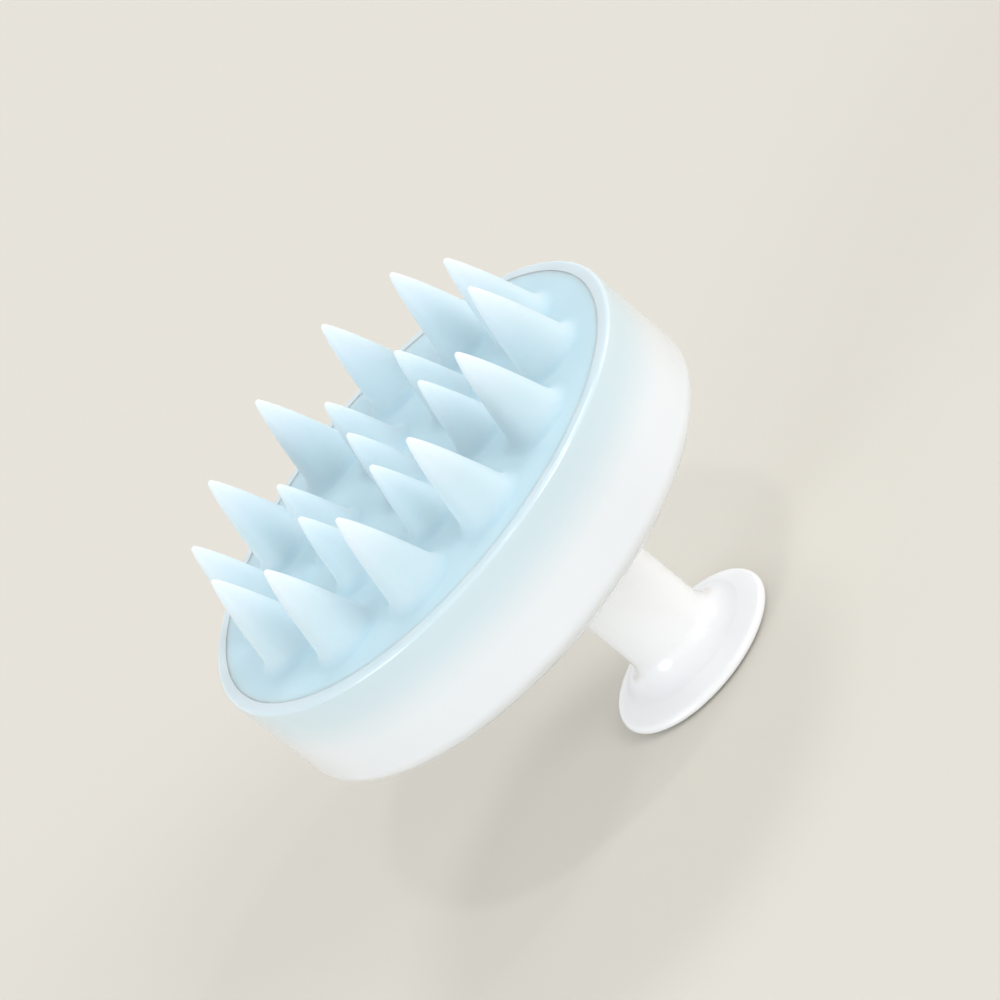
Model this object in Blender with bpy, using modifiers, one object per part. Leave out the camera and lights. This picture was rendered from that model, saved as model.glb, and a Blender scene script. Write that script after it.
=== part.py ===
"""Scalp massager brush: a milky cup on an off-centre knob, closed by a soft bristle head that pulls out.

The brush stands on its knob with the bristles up. The origin is on the cup's axis, level with the knob's
end face. +Z runs from the knob to the bristle tips, and +X points to the side that the knob is set towards.
Lengths are in metres and angles in degrees.
"""

import math

import bmesh
import bpy

# Cup
SHELL_RADIUS = 0.038
SHELL_DEPTH = 0.0199
SHELL_WALL = 0.0019
SHELL_CORNER_REACH = 0.0115
SHELL_CORNER_RISE = 0.005
RIM_ROUNDING = 0.0006
RIM_INNER_ROUNDING = 0.0003

# Knob: height is from its end face to the cup
KNOB_HEIGHT = 0.0294
KNOB_OFFSET = 0.0069
STEM_RADIUS = 0.0067
STEM_WALL = 0.0016
STEM_CORE_FLOOR = 0.0065
FLANGE_RADIUS = 0.0139
FLANGE_EDGE = 0.002
FLANGE_FLARE = 0.0042
FLANGE_DISH = 0.001
FLANGE_EDGE_START = 80
FLANGE_FOOT_REACH = 0.0026
FLANGE_FOOT_RISE = 0.001
SPIGOT_RADIUS = 0.0034
KEY_WIDTH = 0.0016
KEY_REACH = 0.0012

# Screw and washer
SCREW_RADIUS = 0.0015
SCREW_LENGTH = 0.012
SCREW_HEAD_RADIUS = 0.0028
SCREW_HEAD_HEIGHT = 0.002
SCREW_RECESS_WIDTH = 0.0008
SCREW_RECESS_DEPTH = 0.0011
WASHER_RADIUS = 0.0055
WASHER_THICKNESS = 0.0008

# Soft pad
PAD_INSET = 0.0001
PAD_SKIN = 0.002
PAD_EDGE_ROUNDING = 0.0003
SKIRT_DEPTH = 0.0085
SKIRT_WALL = 0.002
LIP_THICKNESS = 0.0015
LIP_REACH = 0.0018

# Bristles: rises are above the rim, and the outer ring is inset from the pad's edge
BRISTLE_TAPER = 0.75
BRISTLE_TIP_RADIUS = 0.0005
OUTER_COUNT = 12
OUTER_RISE = 0.0148
OUTER_BASE_RADIUS = 0.0046
OUTER_INSET = 0.0089
OUTER_PHASE = 10
INNER_COUNT = 6
INNER_RISE = 0.0114
INNER_BASE_RADIUS = 0.004
INNER_PHASE = 25
RING_SPACING = 0.0129

# Carrier plate
CARRIER_PLATE = 0.0018
CARRIER_EDGE = 0.0018
CARRIER_RING_WALL = 0.0016
CARRIER_RIB_COUNT = 6
CARRIER_RIB_WIDTH = 0.0014
CARRIER_RIB_DEPTH = 0.004
CARRIER_HUB_RADIUS = 0.004

# Space left between pieces that touch
SEAT_GAP = 0.0003
FIT_GAP = 0.0003

# How finely round shapes are cut
ROUND_STEPS = 72
SMALL_STEPS = 32
ARC_STEPS = 5
BRISTLE_STEPS = 12
BRISTLE_RINGS = 6

MERGE = 0.00001

# Heights of the stack, from the knob's end face up
SHELL_BOTTOM = KNOB_HEIGHT + SEAT_GAP
SHELL_FLOOR = SHELL_BOTTOM + SHELL_WALL
RIM = SHELL_BOTTOM + SHELL_DEPTH
WASHER_BOTTOM = SHELL_FLOOR + SEAT_GAP
SCREW_SEAT = WASHER_BOTTOM + WASHER_THICKNESS + SEAT_GAP
PAD_TOP = RIM - PAD_INSET
PAD_UNDERSIDE = PAD_TOP - PAD_SKIN
SKIRT_BOTTOM = PAD_TOP - SKIRT_DEPTH
LIP_TOP = SKIRT_BOTTOM + LIP_THICKNESS
CARRIER_TOP = PAD_UNDERSIDE - SEAT_GAP
CARRIER_UNDERSIDE = CARRIER_TOP - CARRIER_PLATE

# Radii that follow from what each piece fits in
PAD_RADIUS = SHELL_RADIUS - SHELL_WALL - FIT_GAP
SKIRT_INNER = PAD_RADIUS - SKIRT_WALL
LIP_INNER = SKIRT_INNER - LIP_REACH
CARRIER_RADIUS = SKIRT_INNER - FIT_GAP
CARRIER_RING_RADIUS = min(SHELL_RADIUS - SHELL_CORNER_REACH - FIT_GAP, LIP_INNER - FIT_GAP)
OUTER_RING = PAD_RADIUS - OUTER_INSET
INNER_RING = OUTER_RING - RING_SPACING
SCREW_BORE_RADIUS = SCREW_RADIUS + FIT_GAP


def clear_scene():
    for obj in list(bpy.data.objects):
        bpy.data.objects.remove(obj, do_unlink=True)


def new_collection(name):
    collection = bpy.data.collections.new(name)
    bpy.context.scene.collection.children.link(collection)
    return collection


def plastic(name, color, roughness, transmission=0.0):
    material = bpy.data.materials.new(name)
    material.use_nodes = True
    shader = material.node_tree.nodes["Principled BSDF"]
    shader.inputs["Base Color"].default_value = (*color, 1.0)
    shader.inputs["Roughness"].default_value = roughness
    shader.inputs["Metallic"].default_value = 0.0
    shader.inputs["Transmission Weight"].default_value = transmission
    return material


def steel(name):
    material = plastic(name, (0.62, 0.63, 0.65), 0.3)
    material.node_tree.nodes["Principled BSDF"].inputs["Metallic"].default_value = 1.0
    return material


def arc(centre_r, centre_z, reach, start, end, rise=None):
    """Profile points (radius, height) along a round arc, or an oval one whose rise differs from its reach.

    Angles are counted from outward towards up.
    """
    rise = rise or reach
    points = []
    for step in range(ARC_STEPS + 1):
        angle = math.radians(start + (end - start) * step / ARC_STEPS)
        points.append((centre_r + reach * math.cos(angle), centre_z + rise * math.sin(angle)))
    return points


def add_object(name, mesh, collection, material=None):
    obj = bpy.data.objects.new(name, mesh)
    collection.objects.link(obj)
    if material:
        mesh.materials.append(material)
    return obj


def turned(name, profile, collection, material, steps=ROUND_STEPS, closed=False):
    """Turns a profile of (radius, height) points, running down its outer side, round the object's Z axis."""
    mesh = bpy.data.meshes.new(name)
    edges = [(index, index + 1) for index in range(len(profile) - 1)]
    if closed:
        edges.append((len(profile) - 1, 0))
    mesh.from_pydata([(radius, 0.0, height) for radius, height in profile], edges, [])
    obj = add_object(name, mesh, collection, material)
    screw = obj.modifiers.new("turn", "SCREW")
    screw.axis = "Z"
    screw.angle = 2 * math.pi
    screw.steps = steps
    screw.render_steps = steps
    screw.use_merge_vertices = True
    screw.merge_threshold = MERGE
    screw.use_smooth_shade = True
    return obj


def as_cutter(obj):
    obj.hide_render = True
    obj.display_type = "WIRE"
    return obj


def combine(obj, other, operation, self_crossing=False):
    """Adds or cuts another object's shape, which may cross itself."""
    boolean = obj.modifiers.new(operation.lower() + "_" + other.name, "BOOLEAN")
    boolean.operation = operation
    boolean.solver = "EXACT"
    boolean.use_self = self_crossing
    boolean.object = other


def add_block(mesh_builder, low, high, turn=0.0):
    """Adds a box between two corners, turned about the Z axis."""
    created = bmesh.ops.create_cube(mesh_builder, size=1.0)["verts"]
    cosine, sine = math.cos(math.radians(turn)), math.sin(math.radians(turn))
    for vert in created:
        x, y, z = (low[axis] + (high[axis] - low[axis]) * (vert.co[axis] + 0.5) for axis in range(3))
        vert.co = (x * cosine - y * sine, x * sine + y * cosine, z)


def object_from(mesh_builder, name, collection, material=None):
    mesh = bpy.data.meshes.new(name)
    mesh_builder.to_mesh(mesh)
    mesh_builder.free()
    return add_object(name, mesh, collection, material)


def make_shell(parts, cutters, material):
    inner_radius = SHELL_RADIUS - SHELL_WALL
    corner_r, corner_z = SHELL_RADIUS - SHELL_CORNER_REACH, SHELL_BOTTOM + SHELL_CORNER_RISE
    inner_reach, inner_rise = SHELL_CORNER_REACH - SHELL_WALL, SHELL_CORNER_RISE - SHELL_WALL
    profile = [(0.0, SHELL_FLOOR)]
    profile += arc(corner_r, corner_z, inner_reach, -90, 0, inner_rise)
    profile += arc(inner_radius + RIM_INNER_ROUNDING, RIM - RIM_INNER_ROUNDING, RIM_INNER_ROUNDING, 180, 90)
    profile += arc(SHELL_RADIUS - RIM_ROUNDING, RIM - RIM_ROUNDING, RIM_ROUNDING, 90, 0)
    profile += arc(corner_r, corner_z, SHELL_CORNER_REACH, 0, -90, SHELL_CORNER_RISE)
    profile.append((0.0, SHELL_BOTTOM))
    shell = turned("shell", profile, parts, material)

    overshoot = SHELL_WALL
    low, high = SHELL_BOTTOM - overshoot, SHELL_FLOOR + overshoot
    hole_radius = SPIGOT_RADIUS + FIT_GAP
    hole_profile = [(0.0, high), (hole_radius, high), (hole_radius, low), (0.0, low)]
    hole = as_cutter(turned("spigot_hole", hole_profile, cutters, None, SMALL_STEPS))
    hole.location.x = KNOB_OFFSET
    combine(shell, hole, "DIFFERENCE")

    key = bmesh.new()
    half = KEY_WIDTH / 2 + FIT_GAP
    add_block(key, (0.0, -half, low), (SPIGOT_RADIUS + KEY_REACH + FIT_GAP, half, high))
    keyway = as_cutter(object_from(key, "keyway", cutters))
    keyway.location.x = KNOB_OFFSET
    combine(shell, keyway, "DIFFERENCE")
    return shell


def make_knob(parts, cutters, material):
    core_radius = STEM_RADIUS - STEM_WALL
    bore_floor = SCREW_SEAT - SCREW_LENGTH - 2 * SEAT_GAP
    edge, foot = FLANGE_EDGE - FLANGE_FOOT_RISE, FLANGE_FOOT_REACH
    profile = [(0.0, bore_floor), (SCREW_BORE_RADIUS, bore_floor), (SCREW_BORE_RADIUS, SHELL_FLOOR)]
    profile += [(SPIGOT_RADIUS, SHELL_FLOOR), (SPIGOT_RADIUS, STEM_CORE_FLOOR)]
    profile += [(core_radius, STEM_CORE_FLOOR), (core_radius, KNOB_HEIGHT), (STEM_RADIUS, KNOB_HEIGHT)]
    flare_base = FLANGE_EDGE + FLANGE_DISH
    profile += arc(STEM_RADIUS + FLANGE_FLARE, flare_base + FLANGE_FLARE, FLANGE_FLARE, 180, 270)
    profile += arc(FLANGE_RADIUS - edge, FLANGE_FOOT_RISE, edge, FLANGE_EDGE_START, 0)
    profile += arc(FLANGE_RADIUS - foot, FLANGE_FOOT_RISE, foot, 0, -90, FLANGE_FOOT_RISE)
    profile.append((0.0, 0.0))
    knob = turned("knob", profile, parts, material)
    knob.location.x = KNOB_OFFSET

    key = bmesh.new()
    half = KEY_WIDTH / 2
    inside = (SCREW_BORE_RADIUS + SPIGOT_RADIUS) / 2
    add_block(key, (inside, -half, KNOB_HEIGHT - STEM_WALL), (SPIGOT_RADIUS + KEY_REACH, half, SHELL_FLOOR))
    rib = as_cutter(object_from(key, "spigot_key", cutters))
    rib.location.x = KNOB_OFFSET
    combine(knob, rib, "UNION")
    return knob


def make_washer(parts, material):
    low, high = WASHER_BOTTOM, WASHER_BOTTOM + WASHER_THICKNESS
    profile = [
        (SCREW_BORE_RADIUS, low),
        (SCREW_BORE_RADIUS, high),
        (WASHER_RADIUS, high),
        (WASHER_RADIUS, low),
    ]
    washer = turned("knob_washer", profile, parts, material, SMALL_STEPS, closed=True)
    washer.location.x = KNOB_OFFSET
    return washer


def make_screw(parts, cutters, material):
    top = SCREW_SEAT + SCREW_HEAD_HEIGHT
    point = SCREW_SEAT - SCREW_LENGTH
    rounding = SCREW_HEAD_HEIGHT / 2
    profile = [(0.0, top)]
    profile += arc(SCREW_HEAD_RADIUS - rounding, top - rounding, rounding, 90, 0)
    profile += [(SCREW_HEAD_RADIUS, SCREW_SEAT), (SCREW_RADIUS, SCREW_SEAT)]
    profile += [(SCREW_RADIUS, point + SCREW_RADIUS), (SCREW_RADIUS / 3, point), (0.0, point)]
    screw = turned("knob_screw", profile, parts, material, SMALL_STEPS)
    screw.location.x = KNOB_OFFSET

    half_width = SCREW_RECESS_WIDTH / 2
    half_length = SCREW_RADIUS
    recess_floor = top - SCREW_RECESS_DEPTH
    above = top + SCREW_RECESS_DEPTH
    for name, turn in (("recess_slot_x", 0), ("recess_slot_y", 90)):
        slot = bmesh.new()
        add_block(slot, (-half_length, -half_width, recess_floor), (half_length, half_width, above), turn)
        cutter = as_cutter(object_from(slot, name, cutters))
        cutter.location.x = KNOB_OFFSET
        combine(screw, cutter, "DIFFERENCE")
    return screw


def bristle_profile(base_radius, height):
    """(radius, height) points of a bristle, from inside the pad's skin up to its small round tip."""
    root = -PAD_SKIN / 2
    points = [(0.0, root), (base_radius, root)]
    for ring in range(BRISTLE_RINGS):
        share = 1 - ring / BRISTLE_RINGS
        points.append((base_radius * share**BRISTLE_TAPER, height * (1 - share)))
    return points + [(BRISTLE_TIP_RADIUS, height - BRISTLE_TIP_RADIUS), (0.0, height)]


def add_bristle(mesh_builder, x, y, base_radius, tip_height):
    """Adds one closed bristle, its profile spun round its own upright axis."""
    profile = bristle_profile(base_radius, tip_height - PAD_TOP)
    verts = [mesh_builder.verts.new((x + radius, y, PAD_TOP + height)) for radius, height in profile]
    edges = [mesh_builder.edges.new(pair) for pair in zip(verts, verts[1:])]
    spin = {"cent": (x, y, 0.0), "axis": (0.0, 0.0, 1.0), "angle": 2 * math.pi, "steps": BRISTLE_STEPS}
    bmesh.ops.spin(mesh_builder, geom=verts + edges, use_merge=True, **spin)


def add_bristle_ring(mesh_builder, count, ring_radius, phase, base_radius, tip_height):
    for index in range(count):
        angle = math.radians(phase + 360 * index / count)
        x, y = ring_radius * math.cos(angle), ring_radius * math.sin(angle)
        add_bristle(mesh_builder, x, y, base_radius, tip_height)


def bristle_solids(collection):
    """All bristles as one helper object: an outer ring, an inner ring and one in the middle."""
    builder = bmesh.new()
    outer_tip, inner_tip = RIM + OUTER_RISE, RIM + INNER_RISE
    add_bristle_ring(builder, OUTER_COUNT, OUTER_RING, OUTER_PHASE, OUTER_BASE_RADIUS, outer_tip)
    add_bristle_ring(builder, INNER_COUNT, INNER_RING, INNER_PHASE, INNER_BASE_RADIUS, inner_tip)
    add_bristle(builder, 0.0, 0.0, INNER_BASE_RADIUS, inner_tip)
    bmesh.ops.remove_doubles(builder, verts=builder.verts, dist=MERGE)
    bmesh.ops.recalc_face_normals(builder, faces=builder.faces)
    return as_cutter(object_from(builder, "bristles", collection))


def make_bristle_pad(parts, cutters, material):
    rounding = PAD_EDGE_ROUNDING
    profile = [(0.0, PAD_TOP)]
    profile += arc(PAD_RADIUS - rounding, PAD_TOP - rounding, rounding, 90, 0)
    profile += [(PAD_RADIUS, SKIRT_BOTTOM), (LIP_INNER, SKIRT_BOTTOM), (LIP_INNER, LIP_TOP)]
    profile += [(SKIRT_INNER, LIP_TOP), (SKIRT_INNER, PAD_UNDERSIDE), (0.0, PAD_UNDERSIDE)]
    pad = turned("bristle_pad", profile, parts, material)

    combine(pad, bristle_solids(cutters), "UNION", self_crossing=True)
    return pad


def make_carrier(parts, cutters, material):
    ring_outer, ring_inner = CARRIER_RING_RADIUS, CARRIER_RING_RADIUS - CARRIER_RING_WALL
    edge_bottom = LIP_TOP + SEAT_GAP
    edge_inner = max(CARRIER_RADIUS - CARRIER_EDGE, ring_outer)
    ring_bottom = SHELL_FLOOR + SEAT_GAP
    profile = [(0.0, CARRIER_TOP), (CARRIER_RADIUS, CARRIER_TOP), (CARRIER_RADIUS, edge_bottom)]
    profile.append((edge_inner, edge_bottom))
    if edge_inner > ring_outer:
        profile += [(edge_inner, CARRIER_UNDERSIDE), (ring_outer, CARRIER_UNDERSIDE)]
    profile += [(ring_outer, ring_bottom), (ring_inner, ring_bottom)]
    profile += [(ring_inner, CARRIER_UNDERSIDE), (0.0, CARRIER_UNDERSIDE)]
    carrier = turned("pad_carrier", profile, parts, material)

    builder = bmesh.new()
    half = CARRIER_RIB_WIDTH / 2
    into_ring = ring_inner + CARRIER_RING_WALL / 2
    into_plate = CARRIER_UNDERSIDE + CARRIER_PLATE / 2
    for index in range(CARRIER_RIB_COUNT):
        low = (CARRIER_HUB_RADIUS, -half, CARRIER_UNDERSIDE - CARRIER_RIB_DEPTH)
        add_block(builder, low, (into_ring, half, into_plate), 360 * index / CARRIER_RIB_COUNT)
    ribs = as_cutter(object_from(builder, "carrier_ribs", cutters))
    combine(carrier, ribs, "UNION")
    return carrier


def main():
    clear_scene()
    parts = new_collection("scalp_massager_brush")
    cutters = new_collection("cutters")
    milky = plastic("milky_polypropylene", (0.84, 0.87, 0.88), 0.22, transmission=0.15)
    silicone = plastic("pale_blue_silicone", (0.57, 0.77, 0.84), 0.42)
    carrier_plastic = plastic("white_polypropylene", (0.82, 0.84, 0.85), 0.4)
    screw_steel = steel("zinc_plated_steel")
    make_shell(parts, cutters, milky)
    make_knob(parts, cutters, milky)
    make_washer(parts, screw_steel)
    make_screw(parts, cutters, screw_steel)
    make_bristle_pad(parts, cutters, silicone)
    make_carrier(parts, cutters, carrier_plastic)


main()
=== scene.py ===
"""Looks of the scalp massager brush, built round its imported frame.

The brush stands on its knob. +Z runs from the knob to the bristle tips, and +X points to the side that the
knob is set towards. Lengths are in metres and angles in degrees.
"""

import math

import bmesh
import bpy
from mathutils import Matrix, Vector
from mathutils.geometry import delaunay_2d_cdt


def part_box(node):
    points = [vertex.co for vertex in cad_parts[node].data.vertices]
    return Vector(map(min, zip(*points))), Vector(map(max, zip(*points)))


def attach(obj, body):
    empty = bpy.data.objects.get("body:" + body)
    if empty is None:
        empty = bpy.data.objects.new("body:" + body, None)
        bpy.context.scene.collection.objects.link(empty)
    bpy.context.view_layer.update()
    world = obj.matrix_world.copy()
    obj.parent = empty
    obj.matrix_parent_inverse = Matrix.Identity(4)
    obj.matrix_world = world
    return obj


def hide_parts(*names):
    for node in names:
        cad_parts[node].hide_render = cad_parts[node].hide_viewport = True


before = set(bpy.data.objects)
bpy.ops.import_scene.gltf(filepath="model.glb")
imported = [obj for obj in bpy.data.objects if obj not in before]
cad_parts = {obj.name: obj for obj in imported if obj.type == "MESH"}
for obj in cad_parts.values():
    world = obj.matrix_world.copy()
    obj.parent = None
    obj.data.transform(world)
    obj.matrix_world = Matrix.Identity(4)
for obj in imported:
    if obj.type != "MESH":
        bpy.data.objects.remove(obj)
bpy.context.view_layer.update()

# Places and sizes that come from the frame
SHELL_LOW, SHELL_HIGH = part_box("shell")
KNOB_LOW, KNOB_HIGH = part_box("knob")
PAD_LOW, PAD_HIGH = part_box("bristle_pad")
SCREW_LOW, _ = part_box("knob_screw")
SHELL_RADIUS = SHELL_HIGH.x
SHELL_BOTTOM = SHELL_LOW.z
SHELL_FLOOR = KNOB_HIGH.z  # the knob's spigot ends flush with the cup's floor
RIM = SHELL_HIGH.z
FLANGE_RADIUS = KNOB_HIGH.y
KNOB_X = (KNOB_LOW.x + KNOB_HIGH.x) / 2
SKIRT_BOTTOM = PAD_LOW.z
OUTER_TIP = PAD_HIGH.z

# Gaps. The frame's pieces stand 0.3 mm apart where they touch, and the looks close that to a hair.
SEAT_GAP = 0.00003
FIT_GAP = 0.00001

# Cup
SHELL_WALL = SHELL_FLOOR - SHELL_BOTTOM
SHELL_CORNER_REACH = 0.0115
SHELL_CORNER_RISE = 0.005
RIM_ROUNDING = 0.0006
RIM_INNER_ROUNDING = 0.00002

# Knob
STEM_RADIUS = 0.0067
STEM_WALL = 0.0016
STEM_CORE_FLOOR = 0.0065
SPIGOT_RADIUS = 0.0034
SCREW_BORE_RADIUS = 0.0018
FLANGE_EDGE = 0.002
FLANGE_FLARE = 0.0042
FLANGE_DISH = 0.001
FLANGE_EDGE_START = 80
FLANGE_FOOT_REACH = 0.0026
FLANGE_FOOT_RISE = 0.001

# Pad
PAD_DROP = 0.00003
PAD_TOP = RIM - PAD_DROP
PAD_RADIUS = SHELL_RADIUS - SHELL_WALL - FIT_GAP
PAD_SKIN = 0.002
PAD_EDGE_ROUNDING = 0.00002
SKIRT_WALL = 0.002
LIP_THICKNESS = 0.0015
LIP_REACH = 0.0018
FLAT_MARGIN = 0.0003

# Bristles
BRISTLE_BASE = 0.0045
BRISTLE_LENGTH = OUTER_TIP - PAD_TOP
BRISTLE_TAPER = 0.75
TIP_REACH = 0.0006
ROOT_RISE = 0.0022
ROOT_SPREAD = 0.0016
OUTER_COUNT = 12
OUTER_RING = 0.0269
OUTER_PHASE = 10
INNER_COUNT = 6
INNER_RING = 0.014
INNER_PHASE = 25
INNER_TIP_RISE = 0.0114
INNER_TIP = RIM + INNER_TIP_RISE

# Mesh fineness
ROUND_STEPS = 240
KNOB_STEPS = 160
BRISTLE_STEPS = 48
ARC_STEPS = 10
ROOT_STEPS = 6
SIDE_CROWDING = 1.3
WELD = 0.000001
SHARP_ANGLE = 35

# Colours, and the heights between which one passes into the next
# The cup and the knob are one milky plastic in two painted tones: the cup is painted darker to hold down the
# light on it
CUP_TONE = (0.82, 0.855, 0.89)
# Painted light: the blue of the pad seen glowing through the cup's wall, painted in a band below the rim
CUP_PAINTED_PAD_GLOW = (0.63, 0.76, 0.815)
CLOUD_SHADE = 0.98
CUP_PAD_GLOW_HEIGHTS = (SKIRT_BOTTOM - 0.003, RIM - 0.001)
# Painted brighter and bluer than the cup, to lift the knob's shade under the cup and the floor's warm bounce
KNOB_TONE = (0.925, 0.94, 0.975)
# Painted glow: the tips are paler for light through thin silicone. The two skin tones differ at random.
# Painted shade: the pad's flat and the bristle roots are a deeper blue for the valleys between the bristles.
SKIN_SHADE_TONES = ((0.52, 0.735, 0.84), (0.54, 0.75, 0.85))
BRISTLE_TONE = (0.625, 0.75, 0.80)
ROOT_HEIGHTS = (PAD_TOP - 0.001, PAD_TOP + 0.002)
TIP_GLOW_TONE = (0.73, 0.80, 0.85)
TIP_HEIGHTS = (PAD_TOP + 0.004, OUTER_TIP)
CARRIER_TONES = ((0.80, 0.82, 0.83), (0.85, 0.865, 0.87))
STEEL_TONES = ((0.55, 0.56, 0.58), (0.68, 0.69, 0.7))

# Light. Each sun is its name, azimuth, elevation, strength, width and colour.
# Azimuth 0 is the camera's side and counts towards +X.
WORLD_AT_HORIZON = 1.05
WORLD_OVERHEAD = 0.53
WHITE = (1.0, 1.0, 1.0)
COOL = (0.88, 0.96, 1.0)
SUNS = (
    ("window", 42, 26, 0.74, 25, WHITE),
    ("low_fill", -65, 14, 0.75, 30, COOL),
    ("side_fill", 105, 15, 0.35, 30, WHITE),
    ("back_light", 135, 60, 0.42, 20, WHITE),
    ("rim_glint", 15, 60, 0.2, 4, WHITE),
    ("knob_glint", 60, 40, 0.15, 4, WHITE),
)

# Floor
FLOOR_COLOR = (0.736, 0.706, 0.643)
FLOOR_RADIUS = 4.0
FLOOR_DROP = 0.00005

# Camera
CAMERA_DISTANCE = 0.742
CAMERA_LENS = 197.7
CAMERA_ELEVATION = 22.7
CAMERA_ROLL = 50.6
AIM_RIGHT = 0.0124
AIM_UP = -0.0022
CAMERA_NEAR = 0.05


def arc(centre_r, centre_z, reach, start, end, rise=None, steps=ARC_STEPS):
    """Profile points (radius, height) along a round arc, or an oval one whose rise differs from its reach.

    Angles are counted from outward towards up.
    """
    rise = rise or reach
    points = []
    for step in range(steps + 1):
        angle = math.radians(start + (end - start) * step / steps)
        points.append((centre_r + reach * math.cos(angle), centre_z + rise * math.sin(angle)))
    return points


def curve(start, handle, end, steps):
    """Profile points along a smooth bend between two points, whose tangents meet at the handle."""
    points = []
    for step in range(steps + 1):
        share = step / steps
        pulls = ((1 - share) ** 2, 2 * share * (1 - share), share**2)
        radius = sum(pull * point[0] for pull, point in zip(pulls, (start, handle, end)))
        height = sum(pull * point[1] for pull, point in zip(pulls, (start, handle, end)))
        points.append((radius, height))
    return points


def add_turned(builder, profile, steps, centre=(0.0, 0.0)):
    """Spins a profile of (radius, height) points round an upright axis."""
    verts = [builder.verts.new((centre[0] + r, centre[1], z)) for r, z in profile]
    edges = [builder.edges.new(pair) for pair in zip(verts, verts[1:])]
    spin = {"cent": (*centre, 0.0), "axis": (0.0, 0.0, 1.0), "angle": 2 * math.pi, "steps": steps}
    bmesh.ops.spin(builder, geom=verts + edges, use_merge=True, **spin)


def circle_points(x, y, radius, steps):
    turns = [2 * math.pi * step / steps for step in range(steps)]
    return [Vector((x + radius * math.cos(turn), y + radius * math.sin(turn))) for turn in turns]


def add_flat(builder, height, outline, holes):
    """Fills a level face between an outline and the holes in it, each a loop of points."""
    points = list(outline)
    edges = [(index, (index + 1) % len(outline)) for index in range(len(outline))]
    loops = []
    for hole in holes:
        loops.append(list(range(len(points), len(points) + len(hole))))
        points += hole
    made, _, faces, _, _, owners = delaunay_2d_cdt(points, edges, loops, 0, WELD)
    verts = [builder.verts.new((point.x, point.y, height)) for point in made]
    for face, owner in zip(faces, owners):
        if not owner:
            builder.faces.new([verts[index] for index in face])


def finish_piece(builder, name, body, material, replaced):
    """Welds a built mesh, shades it and hands it to its body in place of a CAD node."""
    bmesh.ops.remove_doubles(builder, verts=builder.verts, dist=WELD)
    bmesh.ops.recalc_face_normals(builder, faces=builder.faces)
    mesh = bpy.data.meshes.new(name)
    builder.to_mesh(mesh)
    builder.free()
    mesh.shade_smooth()
    mesh.set_sharp_from_angle(angle=math.radians(SHARP_ANGLE))
    mesh.materials.append(material)
    piece = bpy.data.objects.new(name, mesh)
    bpy.context.scene.collection.objects.link(piece)
    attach(piece, body)
    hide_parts(replaced)
    return piece


# Materials


def node(tree, kind, settings=None, **inputs):
    """Adds a node, sets its properties, and sets or links its inputs by name."""
    made = tree.nodes.new(kind)
    for key, value in (settings or {}).items():
        setattr(made, key, value)
    for key, value in inputs.items():
        socket = made.inputs[key.replace("_", " ")]
        if isinstance(value, bpy.types.NodeSocket):
            tree.links.new(value, socket)
        else:
            socket.default_value = value
    return made


def new_material(name, **sockets):
    """A material with one Principled shader, and the shader and node tree to build on."""
    material = bpy.data.materials.new(name)
    material.use_nodes = True
    tree = material.node_tree
    shader = tree.nodes["Principled BSDF"]
    for key, value in sockets.items():
        shader.inputs[key.replace("_", " ")].default_value = value
    return material, tree, shader


def height_share(tree, low, high):
    """0 below one height of the object and 1 above another, eased between them."""
    place = node(tree, "ShaderNodeTexCoord").outputs["Object"]
    height = node(tree, "ShaderNodeSeparateXYZ", Vector=place).outputs["Z"]
    limits = {"From_Min": low, "From_Max": high, "To_Min": 0.0, "To_Max": 1.0}
    ramp = node(tree, "ShaderNodeMapRange", {"interpolation_type": "SMOOTHERSTEP"}, Value=height, **limits)
    return ramp.outputs["Result"]


def noise(tree, scale, detail=3.0):
    """Noise fixed to the object, with its scale counted per metre."""
    place = node(tree, "ShaderNodeTexCoord").outputs["Object"]
    made = node(tree, "ShaderNodeTexNoise", Vector=place, Scale=scale, Detail=detail)
    return made.outputs["Fac"]


def mix(tree, share, first, second):
    """A colour between two colours, each a socket or a value."""
    made = node(tree, "ShaderNodeMix", {"data_type": "RGBA"})
    # A Mix node has a set of sockets for each data type. For colours they are inputs 0, 6 and 7 and output 2.
    for index, value in ((0, share), (6, first), (7, second)):
        socket = made.inputs[index]
        if isinstance(value, bpy.types.NodeSocket):
            tree.links.new(value, socket)
        elif isinstance(value, tuple):
            socket.default_value = (*value, 1.0)
        else:
            socket.default_value = value
    return made.outputs[2]


def spread(tree, value, low, high):
    """Maps the middle of a noise's range to low and high."""
    limits = {"From_Min": 0.3, "From_Max": 0.7, "To_Min": low, "To_Max": high}
    return node(tree, "ShaderNodeMapRange", Value=value, **limits).outputs["Result"]


def bump(tree, shader, heights, strength, distance):
    made = node(tree, "ShaderNodeBump", Height=heights, Strength=strength, Distance=distance)
    tree.links.new(made.outputs["Normal"], shader.inputs["Normal"])


def milky_plastic(name, tone, pad_glow=None):
    """Glossy milky polypropylene. A painted blue glow, where given, stands for the pad seen through the wall,
    fading in between the cup's glow heights.
    """
    look = {"IOR": 1.49, "Subsurface_Weight": 0.4, "Subsurface_Scale": 0.001, "Coat_Weight": 1.0}
    material, tree, shader = new_material(name, Coat_Roughness=0.06, **look)
    shader.inputs["Subsurface Radius"].default_value = (1.0, 1.0, 1.05)
    clouds = spread(tree, noise(tree, 55.0), 0.0, 1.0)
    color = mix(tree, clouds, tuple(CLOUD_SHADE * part for part in tone), tone)
    if pad_glow:
        # Painted blue glow of the pad through the wall, fading in towards the rim
        color = mix(tree, height_share(tree, *CUP_PAD_GLOW_HEIGHTS), color, pad_glow)
    tree.links.new(color, shader.inputs["Base Color"])
    tree.links.new(spread(tree, noise(tree, 260.0), 0.3, 0.38), shader.inputs["Roughness"])
    bump(tree, shader, noise(tree, 160.0, 2.0), 0.03, 0.0002)
    return material


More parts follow.
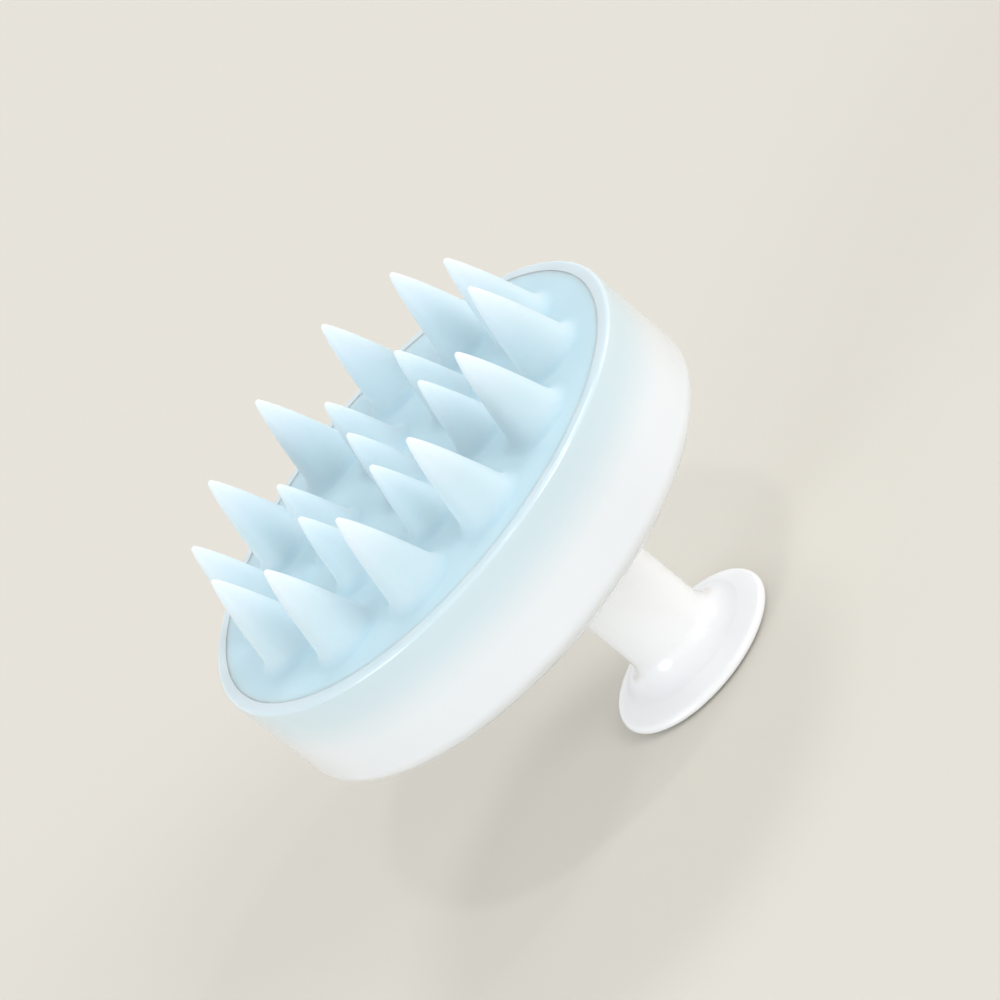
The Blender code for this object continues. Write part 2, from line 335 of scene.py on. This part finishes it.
def blue_silicone():
    """Soft satin silicone: painted deeper blue shade on the pad and roots, painted paler glow at the thin
    tips.
    """
    look = {"IOR": 1.41, "Subsurface_Weight": 1.0, "Subsurface_Scale": 0.002, "Specular_IOR_Level": 0.25}
    material, tree, shader = new_material("pale_blue_silicone", **look)
    shader.inputs["Subsurface Radius"].default_value = (0.9, 1.0, 1.05)
    # Painted deeper blue shade on the flat and the roots, with random tone from noise
    skin = mix(tree, spread(tree, noise(tree, 90.0), 0.0, 1.0), *SKIN_SHADE_TONES)
    bristle = mix(tree, height_share(tree, *ROOT_HEIGHTS), skin, BRISTLE_TONE)
    # Painted paler glow towards the thin tips
    color = mix(tree, height_share(tree, *TIP_HEIGHTS), bristle, TIP_GLOW_TONE)
    tree.links.new(color, shader.inputs["Base Color"])
    tree.links.new(spread(tree, noise(tree, 300.0), 0.4, 0.5), shader.inputs["Roughness"])
    bump(tree, shader, noise(tree, 900.0, 2.0), 0.08, 0.0002)
    return material


def white_plastic():
    """Plain white moulded plastic with a fine grain, for the carrier."""
    material, tree, shader = new_material("white_polypropylene", IOR=1.49, Subsurface_Weight=0.2)
    shader.inputs["Subsurface Scale"].default_value = 0.003
    color = mix(tree, spread(tree, noise(tree, 70.0), 0.0, 1.0), *CARRIER_TONES)
    tree.links.new(color, shader.inputs["Base Color"])
    tree.links.new(spread(tree, noise(tree, 400.0), 0.38, 0.5), shader.inputs["Roughness"])
    bump(tree, shader, noise(tree, 1500.0, 2.0), 0.15, 0.0002)
    return material


def plated_steel():
    """Bright zinc-plated steel, for the screw and the washer."""
    material, tree, shader = new_material("zinc_plated_steel", Metallic=1.0)
    color = mix(tree, spread(tree, noise(tree, 600.0), 0.0, 1.0), *STEEL_TONES)
    tree.links.new(color, shader.inputs["Base Color"])
    tree.links.new(spread(tree, noise(tree, 1500.0), 0.22, 0.4), shader.inputs["Roughness"])
    bump(tree, shader, noise(tree, 3000.0, 2.0), 0.1, 0.0001)
    return material


def floor_material():
    material, tree, shader = new_material("pale_floor", Roughness=0.9)
    shader.inputs["Specular IOR Level"].default_value = 0.0
    shader.inputs["Base Color"].default_value = (*FLOOR_COLOR, 1.0)
    return material


# Pieces


def make_shell(material):
    inner_radius = SHELL_RADIUS - SHELL_WALL
    corner_r, corner_z = SHELL_RADIUS - SHELL_CORNER_REACH, SHELL_BOTTOM + SHELL_CORNER_RISE
    inner_reach, inner_rise = SHELL_CORNER_REACH - SHELL_WALL, SHELL_CORNER_RISE - SHELL_WALL
    profile = arc(corner_r, corner_z, inner_reach, -90, 0, inner_rise, 2 * ARC_STEPS)
    profile += arc(inner_radius + RIM_INNER_ROUNDING, RIM - RIM_INNER_ROUNDING, RIM_INNER_ROUNDING, 180, 90)
    profile += arc(SHELL_RADIUS - RIM_ROUNDING, RIM - RIM_ROUNDING, RIM_ROUNDING, 90, 0)
    profile += arc(corner_r, corner_z, SHELL_CORNER_REACH, 0, -90, SHELL_CORNER_RISE, 2 * ARC_STEPS)
    builder = bmesh.new()
    add_turned(builder, profile, ROUND_STEPS)
    hole_radius = SPIGOT_RADIUS + FIT_GAP
    add_turned(builder, [(hole_radius, SHELL_BOTTOM), (hole_radius, SHELL_FLOOR)], KNOB_STEPS, (KNOB_X, 0.0))
    for height in (SHELL_BOTTOM, SHELL_FLOOR):
        hole = circle_points(KNOB_X, 0.0, hole_radius, KNOB_STEPS)
        add_flat(builder, height, circle_points(0.0, 0.0, corner_r, ROUND_STEPS), [hole])
    return finish_piece(builder, "cup_shell", "handle", material, "shell")


def make_knob(material):
    shoulder = SHELL_BOTTOM - SEAT_GAP
    core_radius = STEM_RADIUS - STEM_WALL
    bore_floor = SCREW_LOW.z - SEAT_GAP
    edge, foot = FLANGE_EDGE - FLANGE_FOOT_RISE, FLANGE_FOOT_REACH
    flare_z = FLANGE_EDGE + FLANGE_DISH + FLANGE_FLARE
    profile = [(0.0, bore_floor), (SCREW_BORE_RADIUS, bore_floor), (SCREW_BORE_RADIUS, SHELL_FLOOR)]
    profile += [(SPIGOT_RADIUS, SHELL_FLOOR), (SPIGOT_RADIUS, STEM_CORE_FLOOR)]
    profile += [(core_radius, STEM_CORE_FLOOR), (core_radius, shoulder), (STEM_RADIUS, shoulder)]
    profile += arc(STEM_RADIUS + FLANGE_FLARE, flare_z, FLANGE_FLARE, 180, 270, steps=2 * ARC_STEPS)
    profile += arc(FLANGE_RADIUS - edge, FLANGE_FOOT_RISE, edge, FLANGE_EDGE_START, 0)
    profile += arc(FLANGE_RADIUS - foot, FLANGE_FOOT_RISE, foot, 0, -90, FLANGE_FOOT_RISE)
    profile.append((0.0, 0.0))
    builder = bmesh.new()
    add_turned(builder, profile, KNOB_STEPS, (KNOB_X, 0.0))
    return finish_piece(builder, "finger_knob", "handle", material, "knob")


def taper_at(drop, scale):
    """Radius and its slope for a bristle whose radius is scale * drop ** BRISTLE_TAPER."""
    return scale * drop**BRISTLE_TAPER, scale * BRISTLE_TAPER * drop ** (BRISTLE_TAPER - 1)


def bristle_profile(height):
    """(radius, height) points from the tip down to the pad's flat: a round end, a bulging cone, a root."""
    scale = BRISTLE_BASE / BRISTLE_LENGTH**BRISTLE_TAPER
    radius, slope = taper_at(TIP_REACH, scale)
    ball = radius * math.sqrt(1 + slope**2)
    ball_drop = TIP_REACH + radius * slope
    cut = ball_drop - ball
    tip = PAD_TOP + height
    meet = math.degrees(math.atan2(slope, 1))
    points = [(0.0, tip)]
    for angle in (75, 60, 45, 30 + meet / 2, meet):
        turn = math.radians(angle)
        points.append((ball * math.cos(turn), tip - ball + ball * math.sin(turn)))
    side_end = height + cut - ROOT_RISE
    for step in range(1, ARC_STEPS + 1):
        drop = TIP_REACH + (side_end - TIP_REACH) * (step / ARC_STEPS) ** SIDE_CROWDING
        points.append((scale * drop**BRISTLE_TAPER, tip + cut - drop))
    radius, slope = taper_at(side_end, scale)
    foot = radius + slope * ROOT_RISE
    root_end = (foot + ROOT_SPREAD, PAD_TOP)
    points += curve((radius, PAD_TOP + ROOT_RISE), (foot, PAD_TOP), root_end, ROOT_STEPS)[1:]
    points.append((points[-1][0] + FLAT_MARGIN, PAD_TOP))
    return points


def bristle_places():
    """(x, y, height) of every bristle: an outer ring, an inner ring and one in the middle."""
    places = [(0.0, 0.0, INNER_TIP - PAD_TOP)]
    outer = (OUTER_COUNT, OUTER_RING, OUTER_PHASE, OUTER_TIP)
    inner = (INNER_COUNT, INNER_RING, INNER_PHASE, INNER_TIP)
    for count, radius, phase, tip in (outer, inner):
        for index in range(count):
            angle = math.radians(phase + 360 * index / count)
            places.append((radius * math.cos(angle), radius * math.sin(angle), tip - PAD_TOP))
    return places


def make_pad(material):
    rounding = PAD_EDGE_ROUNDING
    flat_radius = PAD_RADIUS - rounding
    skirt_inner = PAD_RADIUS - SKIRT_WALL
    lip_inner = skirt_inner - LIP_REACH
    lip_top = SKIRT_BOTTOM + LIP_THICKNESS
    underside = PAD_TOP - PAD_SKIN
    profile = [(flat_radius - FLAT_MARGIN, PAD_TOP)]
    profile += arc(flat_radius, PAD_TOP - rounding, rounding, 90, 0)
    profile += [(PAD_RADIUS, SKIRT_BOTTOM), (lip_inner, SKIRT_BOTTOM), (lip_inner, lip_top)]
    profile += [(skirt_inner, lip_top), (skirt_inner, underside), (0.0, underside)]
    builder = bmesh.new()
    add_turned(builder, profile, ROUND_STEPS)
    roots = []
    for x, y, height in bristle_places():
        points = bristle_profile(height)
        add_turned(builder, points, BRISTLE_STEPS, (x, y))
        roots.append(circle_points(x, y, points[-1][0], BRISTLE_STEPS))
    add_flat(builder, PAD_TOP, circle_points(0.0, 0.0, flat_radius - FLAT_MARGIN, ROUND_STEPS), roots)
    return finish_piece(builder, "bristle_head", "head", material, "bristle_pad")


def dress(name, material):
    """Gives a piece that stays as the CAD made it its material."""
    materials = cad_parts[name].data.materials
    materials.clear()
    materials.append(material)


# Stage


def make_floor():
    builder = bmesh.new()
    bmesh.ops.create_circle(builder, cap_ends=True, segments=96, radius=FLOOR_RADIUS)
    mesh = bpy.data.meshes.new("floor")
    builder.to_mesh(mesh)
    builder.free()
    mesh.materials.append(floor_material())
    floor = bpy.data.objects.new("floor", mesh)
    bpy.context.scene.collection.objects.link(floor)
    floor.location.z = KNOB_LOW.z - FLOOR_DROP


def make_sun(name, azimuth, elevation, strength, width, color):
    light = bpy.data.lights.new(name, "SUN")
    light.energy = strength
    light.color = color
    light.angle = math.radians(width)
    lamp = bpy.data.objects.new(name, light)
    bpy.context.scene.collection.objects.link(lamp)
    turn, rise = math.radians(azimuth), math.radians(elevation)
    towards = Vector((math.sin(turn) * math.cos(rise), -math.cos(turn) * math.cos(rise), math.sin(rise)))
    lamp.rotation_mode = "QUATERNION"
    lamp.rotation_quaternion = towards.to_track_quat("Z", "Y")


def make_world():
    """Soft light from all round, brighter near the horizon than overhead."""
    world = bpy.data.worlds.new("studio")
    world.use_nodes = True
    tree = world.node_tree
    direction = node(tree, "ShaderNodeTexCoord").outputs["Generated"]
    height = node(tree, "ShaderNodeSeparateXYZ", Vector=direction).outputs["Z"]
    limits = {"To_Min": WORLD_AT_HORIZON, "To_Max": WORLD_OVERHEAD}
    ramp = node(tree, "ShaderNodeMapRange", Value=height, **limits)
    background = tree.nodes["Background"]
    background.inputs["Color"].default_value = (*WHITE, 1.0)
    tree.links.new(ramp.outputs["Result"], background.inputs["Strength"])
    bpy.context.scene.world = world


def place_camera():
    rise, roll = math.radians(CAMERA_ELEVATION), math.radians(CAMERA_ROLL)
    forward = Vector((0.0, math.cos(rise), -math.sin(rise)))
    level = Vector((1.0, 0.0, 0.0))
    upright = level.cross(forward)
    right = math.cos(roll) * level - math.sin(roll) * upright
    up = math.sin(roll) * level + math.cos(roll) * upright
    aim = Vector((0.0, 0.0, RIM)) + AIM_RIGHT * right + AIM_UP * up
    camera = bpy.data.objects.new("camera", bpy.data.cameras.new("camera"))
    bpy.context.scene.collection.objects.link(camera)
    turn = Matrix((right, up, -forward)).transposed()
    camera.matrix_world = Matrix.Translation(aim - CAMERA_DISTANCE * forward) @ turn.to_4x4()
    camera.data.lens = CAMERA_LENS
    camera.data.clip_start = CAMERA_NEAR
    bpy.context.scene.camera = camera


place_camera()
make_world()
make_floor()
for sun in SUNS:
    make_sun(*sun)
make_shell(milky_plastic("milky_polypropylene_cup", CUP_TONE, CUP_PAINTED_PAD_GLOW))
make_knob(milky_plastic("milky_polypropylene_knob", KNOB_TONE))
make_pad(blue_silicone())
dress("pad_carrier", white_plastic())
steel = plated_steel()
dress("knob_screw", steel)
dress("knob_washer", steel)
bpy.context.scene.view_settings.view_transform = "Standard"
